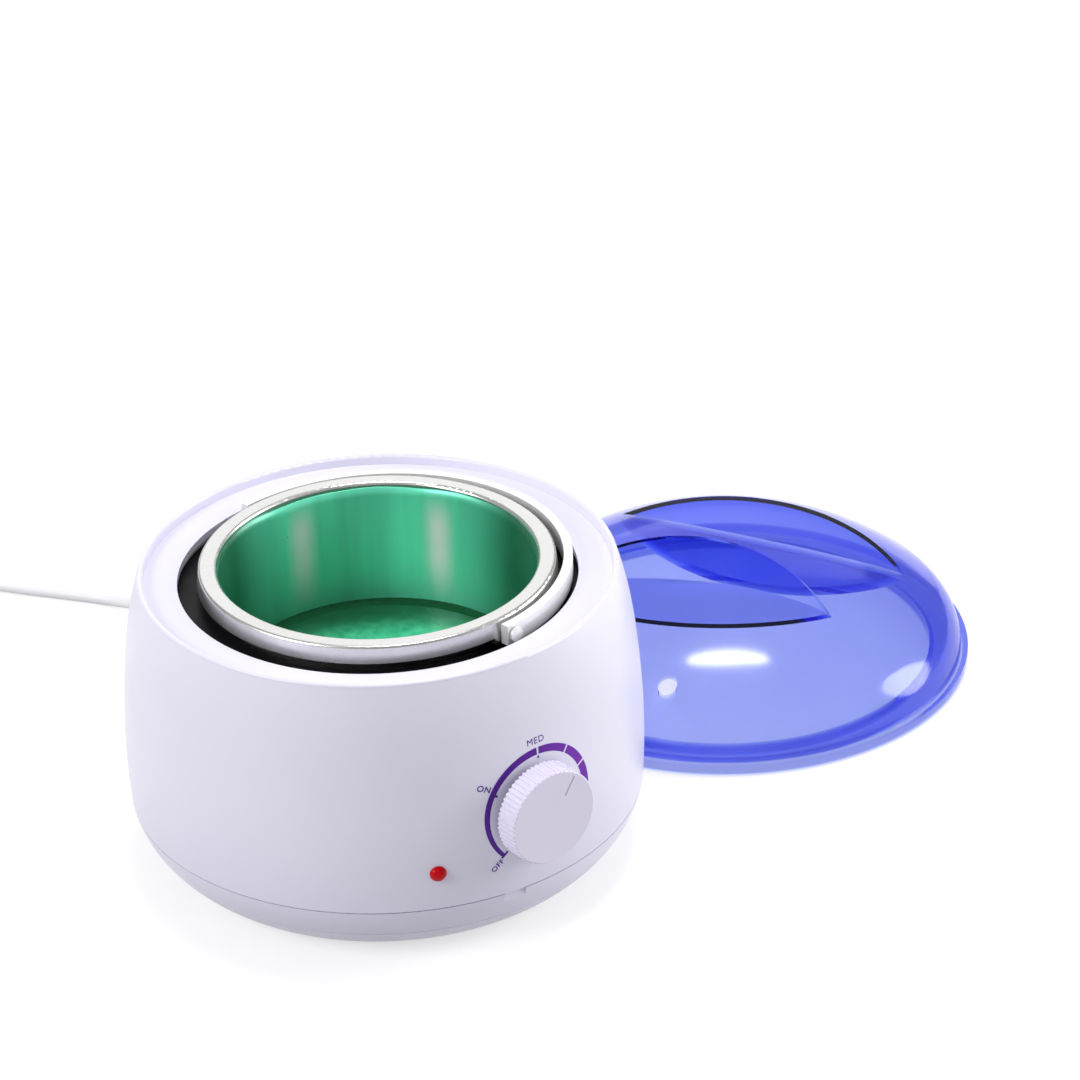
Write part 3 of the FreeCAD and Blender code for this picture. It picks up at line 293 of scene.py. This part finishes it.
# Materials, each with its own function
def moulded(name, first, second, rough, grain=900.0, coat=0.0, shine=0.5):
    """Moulded plastic or rubber: slow colour drift, uneven gloss and a fine grain."""
    material, tree, shader, place = new_material(name)
    drift = span(tree, noise(tree, place, scale=14.0), 0, 1)
    tree.links.new(blend_colours(tree, drift, first, second), shader.inputs["Base Color"])
    add_gloss(tree, shader, place, scale=56.0, low=rough * 0.85, high=rough * 1.15)
    add_bump(tree, shader, noise(tree, place, grain, detail=2.0), strength=0.15, depth=0.02 * MM)
    shader.inputs["Specular IOR Level"].default_value = shine
    shader.inputs["Coat Weight"].default_value = coat
    shader.inputs["Coat Roughness"].default_value = 0.08
    return material


def body_plastic(name, top, low, rough):
    """The body's moulded plastic, with painted shade: darker in tint towards the foot, with a soft gloss and
    a fine grain.
    """
    material, tree, shader, place = new_material(name)
    drift = span(tree, noise(tree, place, scale=14.0), 0, 1)
    pale = shades(tree, drift, top, share=0.975)
    painted_shade_low = shades(tree, drift, low, share=0.975)
    # Painted shade: the colour darkens from the top colour to the low colour towards the foot.
    height = along(tree, place, "Z", low=4 * MM, high=62 * MM)
    tree.links.new(mixed(tree, height, painted_shade_low, pale), shader.inputs["Base Color"])
    add_gloss(tree, shader, place, scale=55.0, low=rough * 0.85, high=rough * 1.15)
    add_bump(tree, shader, noise(tree, place, scale=900.0, detail=2.0), strength=0.15, depth=0.02 * MM)
    shader.inputs["Coat Weight"].default_value = 0.12
    shader.inputs["Coat Roughness"].default_value = 0.10
    return material


def metal(name, first, second, rough):
    """Plain metal with a fine, uneven finish."""
    material, tree, shader, place = new_material(name)
    finish = noise(tree, place, scale=120.0, detail=4.0)
    tree.links.new(blend_colours(tree, span(tree, finish, 0, 1), first, second), shader.inputs["Base Color"])
    tree.links.new(span(tree, finish, rough * 0.75, rough * 1.25), shader.inputs["Roughness"])
    shader.inputs["Metallic"].default_value = 1.0
    add_bump(tree, shader, finish, strength=0.06, depth=0.02 * MM)
    return material


def polished(name, first, second, rough, metallic):
    """Bright steel with a fine, even polish."""
    material, tree, shader, place = new_material(name)
    fine = span(tree, noise(tree, place, scale=500.0, detail=2.0), 0, 1)
    tree.links.new(blend_colours(tree, fine, first, second), shader.inputs["Base Color"])
    add_gloss(tree, shader, place, scale=30.0, low=rough * 0.85, high=rough * 1.15)
    shader.inputs["Metallic"].default_value = metallic
    return material


def clear_plastic(name, first, second, rough, tint, density):
    """Tinted see-through plastic, darker where more of it is looked through."""
    material, tree, shader, place = new_material(name)
    drift = span(tree, noise(tree, place, scale=18.0), 0, 1)
    tree.links.new(blend_colours(tree, drift, first, second), shader.inputs["Base Color"])
    add_gloss(tree, shader, place, scale=60.0, low=rough * 0.7, high=rough * 1.3)
    shader.inputs["Transmission Weight"].default_value = 1.0
    shader.inputs["IOR"].default_value = 1.10
    shader.inputs["Coat Weight"].default_value = 0.7
    shader.inputs["Coat Roughness"].default_value = 0.13
    inside = tree.nodes.new("ShaderNodeVolumeAbsorption")
    inside.inputs["Color"].default_value = (*tint, 1)
    inside.inputs["Density"].default_value = density
    tree.links.new(inside.outputs["Volume"], tree.nodes["Material Output"].inputs["Volume"])
    return material


def lit_lens(name, first, second):
    """Red lens of the pilot lamp, lit from behind."""
    material, tree, shader, place = new_material(name)
    glow = span(tree, noise(tree, place, scale=700.0), 0, 1)
    tree.links.new(blend_colours(tree, glow, first, second), shader.inputs["Base Color"])
    shader.inputs["Roughness"].default_value = 0.14
    shader.inputs["Specular IOR Level"].default_value = 0.1
    shader.inputs["Emission Color"].default_value = (1.0, 0.01, 0.01, 1)
    shader.inputs["Emission Strength"].default_value = 0.08
    return material


def waxy(name, first, second, shaded_rim, rough, coat, shine=0.5):
    """The pool of wax: mottled and wet, with painted shade that darkens it towards the pot's wall and its
    back.
    """
    material, tree, shader, place = new_material(name)
    mottle = span(tree, noise(tree, place, scale=260.0, detail=5.0), 0, 1)
    middle = blend_colours(tree, mottle, first, second)
    # Painted shade: the rim colour darkens the pool near the pot's wall and at its back.
    painted_shade = shades(tree, mottle, shaded_rim, share=1.3)
    shade_near_wall = ramp(tree, from_axis(tree, place), low=0.58 * wax_reach, high=0.98 * wax_reach)
    pool = mixed(tree, shade_near_wall, middle, painted_shade)
    back = ramp(tree, toward(tree, place, painted_light_bearing), low=24 * MM, high=46 * MM)
    tree.links.new(mixed(tree, back, pool, painted_shade), shader.inputs["Base Color"])
    add_gloss(tree, shader, place, scale=40.0, low=rough * 0.7, high=rough * 1.4)
    shader.inputs["Specular IOR Level"].default_value = shine
    shader.inputs["Coat Weight"].default_value = coat
    shader.inputs["Coat Roughness"].default_value = 0.08
    add_bump(tree, shader, noise(tree, place, scale=300.0, detail=2.0), strength=0.2, depth=0.15 * MM)
    return material


def painted_highlight_runs(tree, place):
    """A value that is 1 in two upright runs at the pot's back, where highlights are painted, and 0 elsewhere.
    """
    # Painted highlights: two soft upright runs beside the pot's back.
    beside = math_node(tree, "ABSOLUTE", toward(tree, place, painted_light_bearing + 90))
    off_band = math_node(tree, "ABSOLUTE", math_node(tree, "SUBTRACT", beside, highlight_spread))
    behind = ramp(tree, toward(tree, place, painted_light_bearing), low=0, high=20 * MM)
    highlight_band = times(tree, ramp(tree, off_band, low=highlight_half_width, high=0.0), behind)
    above_pool = along(tree, place, "Z", low=60 * MM, high=82 * MM)
    below_rim = along(tree, place, "Z", low=105 * MM, high=90 * MM)
    patchy = ramp(tree, noise(tree, place, scale=150.0, stretch=(1, 1, 0.4)), low=0.0, high=0.42)
    return times(tree, times(tree, highlight_band, patchy), times(tree, above_pool, below_rim))


def wax_film(name, shaded_colour, lit_colour, highlight_colour, rough):
    """A film of wax on steel, with painted light: shaded at the front and sides, lit at the back, with two
    painted highlight runs.
    """
    material, tree, shader, place = new_material(name)
    streaks = span(tree, noise(tree, place, scale=70.0, stretch=(1, 1, 0.06)), 0, 1)
    # Painted shade at the front and sides, painted light at the back.
    shaded_film = shades(tree, streaks, shaded_colour, share=1.35)
    light = shades(tree, streaks, lit_colour, share=0.72)
    # The runs' colour, steel, is a painted highlight.
    steel = shades(tree, streaks, highlight_colour, share=0.85)
    back = ramp(tree, toward(tree, place, painted_light_bearing), low=22 * MM, high=50 * MM)
    film = mixed(tree, back, shaded_film, light)
    tree.links.new(mixed(tree, painted_highlight_runs(tree, place), film, steel), shader.inputs["Base Color"])
    add_gloss(tree, shader, place, scale=40.0, low=rough * 0.8, high=rough * 1.3)
    shader.inputs["Metallic"].default_value = 0.2
    shader.inputs["Coat Weight"].default_value = 0.2
    shader.inputs["Coat Roughness"].default_value = 0.16
    ripple = noise(tree, place, scale=60.0, detail=1.0, stretch=(1, 1, 0.2))
    add_bump(tree, shader, ripple, strength=0.1, depth=0.1 * MM)
    return material


def print_ink(name, left, right):
    """The dial's printed ink, which gets lighter towards its hot end."""
    material, tree, shader, place = new_material(name)
    speck = span(tree, noise(tree, place, scale=2500.0), 0, 1)
    first = shades(tree, speck, left, share=1.12)
    second = shades(tree, speck, right, share=1.12)
    sweep = along(tree, place, "X", low=-18 * MM, high=20 * MM)
    tree.links.new(mixed(tree, sweep, first, second), shader.inputs["Base Color"])
    add_gloss(tree, shader, place, scale=300.0, low=0.36, high=0.48)
    shader.inputs["Specular IOR Level"].default_value = 0.2
    return material


slot_materials = {
    # The shell's second colour is painted shade towards the foot.
    "shell_plastic": body_plastic("shell_plastic", (0.83, 0.81, 0.95), (0.74, 0.71, 0.88), rough=0.34),
    "knob_plastic": moulded("knob_plastic", (0.80, 0.76, 0.93), (0.77, 0.73, 0.90), rough=0.36, coat=0.1),
    "lid_plastic": clear_plastic("lid_plastic", (0.82, 0.86, 0.98), (0.78, 0.82, 0.97), rough=0.03,
                                 tint=(0.0, 0.14, 0.92), density=310.0),
    "lens_red": lit_lens("lens_red", (0.42, 0.002, 0.006), (0.48, 0.003, 0.008)),
    "pot_steel": polished("pot_steel", (0.76, 0.76, 0.75), (0.74, 0.74, 0.73), rough=0.27, metallic=0.95),
    "bail_steel": polished("bail_steel", (0.90, 0.90, 0.90), (0.88, 0.88, 0.88), rough=0.34, metallic=0.35),
    # The wax's rim colour is painted shade near the wall and at the back.
    "wax_green": waxy("wax_green", (0.040, 0.560, 0.280), (0.130, 0.860, 0.470),
                      shaded_rim=(0.006, 0.090, 0.032), rough=0.32, coat=0.3),
    # The well is near black: its own dark finish, and painted shade in the deep gap round the pot.
    "well_black": moulded("well_black", (0.006, 0.006, 0.008), (0.010, 0.010, 0.012), rough=0.45, shine=0.12),
    "zinc_steel": metal("zinc_steel", (0.60, 0.61, 0.63), (0.48, 0.49, 0.52), rough=0.32),
    "heater_mica": moulded("heater_mica", (0.36, 0.31, 0.24), (0.28, 0.24, 0.19), rough=0.6, grain=300.0),
    "phenolic": moulded("phenolic", (0.035, 0.028, 0.026), (0.022, 0.018, 0.018), rough=0.45),
    "block_nylon": moulded("block_nylon", (0.72, 0.70, 0.64), (0.66, 0.64, 0.58), rough=0.4),
    "brass": metal("brass", (0.78, 0.58, 0.25), (0.66, 0.47, 0.18), rough=0.28),
    "silicone": moulded("silicone", (0.55, 0.54, 0.53), (0.49, 0.48, 0.47), rough=0.6),
    "foot_rubber": moulded("foot_rubber", (0.022, 0.022, 0.024), (0.032, 0.031, 0.033),
                           rough=0.7, grain=500.0),
    "cord_white": moulded("cord_white", (0.90, 0.89, 0.92), (0.87, 0.86, 0.89), rough=0.42, grain=1200.0),
    "wire_red": moulded("wire_red", (0.45, 0.03, 0.03), (0.36, 0.02, 0.02), rough=0.45),
    "wire_blue": moulded("wire_blue", (0.03, 0.08, 0.42), (0.02, 0.06, 0.34), rough=0.45),
    "wire_pale": moulded("wire_pale", (0.70, 0.69, 0.64), (0.62, 0.61, 0.56), rough=0.6),
    "plug_white": moulded("plug_white", (0.80, 0.79, 0.80), (0.76, 0.75, 0.76), rough=0.38),
    "pin_nickel": metal("pin_nickel", (0.82, 0.80, 0.76), (0.70, 0.68, 0.64), rough=0.18),
}
# Painted shade: the pool's edge along the wall is a near black green.
shaded_edge_green = waxy("shaded_edge_green", (0.010, 0.120, 0.050), (0.014, 0.150, 0.066),
                  shaded_rim=(0.006, 0.090, 0.032), rough=0.6, coat=0.0, shine=0.1)
print_purple = print_ink("print_purple", (0.085, 0.012, 0.280), (0.165, 0.022, 0.380))
# The film's colours are painted shade, painted light and painted highlight.
film_green = wax_film("film_green", shaded_colour=(0.014, 0.130, 0.064), lit_colour=(0.180, 1.0, 0.660),
                      highlight_colour=(0.96, 1.0, 0.96), rough=0.34)


def paint_nodes():
    """Gives every solid of the frame its slot's material."""
    slots = {part["node"]: part["material_slot"] for part in frame["record"]["subparts"]}
    for name, node in frame["nodes"].items():
        node.data.materials.clear()
        node.data.materials.append(slot_materials[slots[name]])


paint_nodes()


def link_mesh(name, points, faces, material, smooth=True):
    """A new mesh piece from points and faces."""
    mesh = bpy.data.meshes.new(name)
    mesh.from_pydata([tuple(p) for p in points], [], faces)
    mesh.materials.append(material)
    if smooth:
        mesh.shade_smooth()
    piece = bpy.data.objects.new(name, mesh)
    bpy.context.collection.objects.link(piece)
    return piece


# Cord: one smooth spline along the route and round the coil's turns
def quarter_points(place, heading, radius, climb=0.0):
    """Control points of a quarter turn to the right, with the turn's end and heading."""
    right = heading.cross(UP)
    centre = place + right * radius
    step = math.radians(90 / points_per_quarter)
    reach = radius / math.cos(step / 2)
    points = []
    for index in range(points_per_quarter):
        angle = step * (index + 0.5)
        back = right * (reach * math.cos(angle))
        ahead = heading * (reach * math.sin(angle))
        rise = UP * (climb * (index + 0.5) / points_per_quarter)
        points.append(centre - back + ahead + rise)
    end = centre + heading * radius + UP * climb
    return points, end, right


def coil_points():
    """Control points of the coil: in, up a layer in half a turn, out and straight on."""
    place = Vector(cord_route[-1])
    heading = place - Vector(cord_route[-2])
    heading.z = 0
    heading.normalize()
    place = place + heading * (2 * cord_radius)
    points = [place.copy()]
    radius = coil_radius
    step = coil_pitch / 4
    for _ in range(coil_quarters):
        more, place, heading = quarter_points(place, heading, radius)
        points += more
        radius -= step
    for _ in range(2):
        more, place, heading = quarter_points(place, heading, radius, coil_layer_step / 2)
        points += more
    for _ in range(coil_quarters):
        radius += step
        more, place, heading = quarter_points(place, heading, radius)
        points += more
    points.append(place + heading * (coil_tail / 2))
    points.append(place + heading * coil_tail)
    return points


def make_cord():
    """The cord from the gland to the plug, in place of the solids of its free stretch and its coil."""
    curve = bpy.data.curves.new("power_cord_line", "CURVE")
    curve.dimensions = "3D"
    curve.bevel_depth = cord_radius
    curve.bevel_resolution = 5
    curve.resolution_u = 6
    curve.use_fill_caps = True
    points = [Vector(p) for p in cord_route] + coil_points()
    spline = curve.splines.new("NURBS")
    spline.points.add(len(points) - 1)
    for target, point in zip(spline.points, points):
        target.co = (*point, 1)
    spline.order_u = 3
    spline.use_endpoint_u = True
    curve.materials.append(slot_materials["cord_white"])
    cord = bpy.data.objects.new("power_cord_line", curve)
    bpy.context.collection.objects.link(cord)
    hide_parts("power_cord", "cord_coil")
    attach(cord, BODY)


make_cord()


# Printed dial: flat print laid on the shell's wall round the knob
shell_tree = BVHTree.FromObject(frame["nodes"]["outer_shell"], bpy.context.evaluated_depsgraph_get())


def on_wall(x, z):
    """The point of the shell's front wall behind (x, z), lifted by the print's thickness."""
    hit, normal = shell_tree.ray_cast(Vector((x, in_front_of_wall, z)), Vector((0, 1, 0)))[:2]
    return hit + normal * print_lift


def dial_place(radius, angle):
    """Where a point of the dial lies, as (x, z), by its radius and its angle clockwise from the top."""
    turn = math.radians(angle)
    return dial_side + radius * math.sin(turn), dial_height + radius * math.cos(turn)


def dial_point(radius, angle):
    """The point of the wall at a place of the dial."""
    return on_wall(*dial_place(radius, angle))


def dial_width(angle):
    """The scale's width, which grows from its cold end to its hot end."""
    share = (angle - dial_cold_end) / (dial_hot_end - dial_cold_end)
    return dial_cold_width + (dial_hot_width - dial_cold_width) * share ** 0.8


def link_print(name, points, faces):
    """A printed piece, which rides on the body."""
    piece = link_mesh(name, points, faces, print_purple, smooth=False)
    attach(piece, BODY)


def grid_faces(rows, columns):
    """The faces of a grid of points that is written row by row, by its counts of faces."""
    faces = []
    for row in range(rows):
        for column in range(columns):
            corner = row * (columns + 1) + column
            faces.append((corner, corner + 1, corner + columns + 2, corner + columns + 1))
    return faces


def make_dial_band(name, start, end):
    """A stretch of the scale between two angles."""
    steps = max(4, int((end - start) / dial_step))
    rows = 4
    points = []
    for index in range(steps + 1):
        angle = start + (end - start) * index / steps
        for row in range(rows + 1):
            points.append(dial_point(dial_radius - dial_width(angle) * row / rows, angle))
    link_print(name, points, grid_faces(steps, rows))


def make_dial_tick(name, angle, inner, outer, width):
    """A short mark that points at the knob."""
    half = math.degrees(width / 2 / dial_radius)
    points = []
    for radius in (inner, (inner + outer) / 2, outer):
        for side in (-1, 0, 1):
            points.append(dial_point(radius, angle + side * half))
    link_print(name, points, grid_faces(2, 2))


def make_dial_word(name, word, radius, angle, lean, height, weight):
    """A word printed beside the scale, leaned clockwise by an angle."""
    curve = bpy.data.curves.new(name, "FONT")
    curve.body = word
    curve.size = height / cap_height_share
    curve.align_x = "CENTER"
    curve.align_y = "CENTER"
    curve.space_character = letter_spacing
    curve.offset = weight
    holder = bpy.data.objects.new(name + "_outline", curve)
    bpy.context.collection.objects.link(holder)
    bpy.context.view_layer.update()
    flat = bpy.data.meshes.new_from_object(holder.evaluated_get(bpy.context.evaluated_depsgraph_get()))
    bpy.data.objects.remove(holder)
    tilt = math.radians(lean)
    middle_x, middle_z = dial_place(radius, angle)
    points = []
    for vertex in flat.vertices:
        across = vertex.co.x
        up = vertex.co.y
        x = middle_x + across * math.cos(tilt) + up * math.sin(tilt)
        z = middle_z - across * math.sin(tilt) + up * math.cos(tilt)
        points.append(on_wall(x, z))
    faces = [tuple(face.vertices) for face in flat.polygons]
    link_print(name, points, faces)


def make_dial():
    """The scale in stretches between its marks, with its ticks and words."""
    for index, (start, end) in enumerate(zip(dial_marks, dial_marks[1:])):
        first = start if index == 0 else start + dial_mark_gap
        last = end if end == dial_hot_end else end - dial_mark_gap
        make_dial_band("dial_scale_%d" % (index + 1), first, last)
    make_dial_tick("dial_tick_on", angle=-62.0, inner=18.1 * MM, outer=19.7 * MM, width=0.9 * MM)
    make_dial_tick("dial_tick_med", angle=0.0, inner=17.1 * MM, outer=18.0 * MM, width=0.8 * MM)
    make_dial_tick("dial_tick_off", angle=-133.0, inner=18.5 * MM, outer=21.4 * MM, width=0.9 * MM)
    make_dial_word("dial_word_off", "OFF", radius=24.2 * MM, angle=-135.0, lean=-42.0,
                   height=1.85 * MM, weight=0.05 * MM)
    make_dial_word("dial_word_on", "ON", radius=23.8 * MM, angle=-59.0, lean=24.0,
                   height=2.05 * MM, weight=0.05 * MM)
    make_dial_word("dial_word_med", "MED", radius=23.4 * MM, angle=-1.0, lean=0.0,
                   height=2.25 * MM, weight=0.0)


make_dial()


# Wax film on the pot's wall, with an uneven top edge, and the pool's raised edge
def pot_radius(height):
    """The cup's inner radius at a height."""
    share = (height - pot_wall_start) / (pot_rim_height - pot_wall_start)
    return pot_floor_radius + (pot_mouth_radius - pot_floor_radius) * share


def lathe(name, rings, sides, material):
    """A surface through rings, each a function from an angle to (radius, height)."""
    points = []
    for ring in rings:
        for index in range(sides):
            angle = 2 * math.pi * index / sides
            radius, height = ring(angle)
            points.append((radius * math.cos(angle), radius * math.sin(angle), height))
    faces = []
    for row in range(len(rings) - 1):
        for index in range(sides):
            after = (index + 1) % sides
            faces.append((row * sides + index, row * sides + after,
                          (row + 1) * sides + after, (row + 1) * sides + index))
    return link_mesh(name, points, faces, material)


def film_edge(angle):
    """Height of the film's top edge round the wall."""
    return film_top + sum(height * math.sin(count * angle + shift) for height, count, shift in film_waves)


def make_wax_film():
    """The film from the pool up to its top edge, closed there against the wall."""
    rows = 14

    def ring_at(share):
        def ring(angle):
            height = wax_level + (film_edge(angle) - wax_level) * share
            return pot_radius(height) - film_thickness, height
        return ring

    def edge(angle):
        height = film_edge(angle) + film_lip_rise
        return pot_radius(height) - film_lip_gap, height

    rings = [ring_at(row / rows) for row in range(rows + 1)] + [edge]
    film = lathe("wax_film", rings, 160, film_green)
    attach(film, "pot")


def make_wax_edge():
    """The pool's edge, drawn up the wall, in a dark green that is painted shade along the wall."""
    rows = 6

    def ring_at(share):
        def ring(angle):
            height = wax_level + pool_edge_lift + pool_edge_rise * share ** 2.5
            return pot_radius(height) - pool_edge_gap - pool_edge_reach * (1 - share), height
        return ring

    edge = lathe("wax_edge", [ring_at(row / rows) for row in range(rows + 1)], 128, shaded_edge_green)
    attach(edge, "pot")


make_wax_film()
make_wax_edge()


# Floor and soft studio light
def make_floor():
    """A pale table that reads as white where it is looked at, and keeps the object's shadow."""
    corners = [(-floor_half, -floor_half, 0), (floor_half, -floor_half, 0),
               (floor_half, floor_half, 0), (-floor_half, floor_half, 0)]
    paint = moulded("floor", (0.50, 0.50, 0.50), (0.48, 0.48, 0.48), rough=0.8, shine=0.0)
    tree = paint.node_tree
    shader = tree.nodes["Principled BSDF"]
    shader.inputs["Emission Color"].default_value = (1.0, 1.0, 1.0, 1)
    path = tree.nodes.new("ShaderNodeLightPath")
    mirrored = plus(tree, path.outputs["Is Glossy Ray"], path.outputs["Is Transmission Ray"])
    shown = plus(tree, path.outputs["Is Camera Ray"], mirrored)
    place = tree.nodes["Texture Coordinate"].outputs["Object"]
    glow = ramp(tree, from_axis(tree, place), floor_dim_within, floor_white_from, start=floor_glow)
    tree.links.new(times(tree, shown, glow), shader.inputs["Emission Strength"])
    link_mesh("floor", corners, [(0, 1, 2, 3)], paint)


def make_light(name, bearing, rise, distance, width, height, watts, across=None):
    """A softbox at a bearing from +X and a rise above the table, aimed at the object."""
    turn = math.radians(bearing)
    tilt = math.radians(rise)
    aim = Vector((math.cos(tilt) * math.cos(turn), math.cos(tilt) * math.sin(turn), math.sin(tilt)))
    side = across or UP.cross(aim).normalized()
    upward = aim.cross(side).normalized()
    data = bpy.data.lights.new(name, "AREA")
    data.shape = "ELLIPSE"
    data.size = width
    data.size_y = height
    data.energy = watts
    light = bpy.data.objects.new(name, data)
    facing = Matrix((upward.cross(aim), upward, aim)).transposed().to_4x4()
    light.matrix_world = Matrix.Translation(light_target + aim * distance) @ facing
    bpy.context.collection.objects.link(light)


def make_world():
    """Even white light from all round."""
    world = bpy.data.worlds.new("studio")
    world.use_nodes = True
    background = world.node_tree.nodes["Background"]
    background.inputs["Color"].default_value = (1.0, 1.0, 1.0, 1)
    background.inputs["Strength"].default_value = world_strength
    bpy.context.scene.world = world


make_floor()
make_world()
make_light("softbox_left", bearing=175.0, rise=34.0, distance=2.4, width=1.3, height=1.3, watts=28.0)
make_light("softbox_right", bearing=-28.0, rise=17.0, distance=2.2, width=1.0, height=1.5, watts=33.0)
make_light("softbox_top", bearing=8.0, rise=84.0, distance=1.6, width=0.7, height=0.16, watts=9.0,
           across=Vector((0.80, -0.60, 0)))
make_light("backdrop", bearing=53.0, rise=30.0, distance=2.6, width=3.0, height=1.8, watts=11.0)
bpy.context.scene.view_settings.view_transform = "Standard"
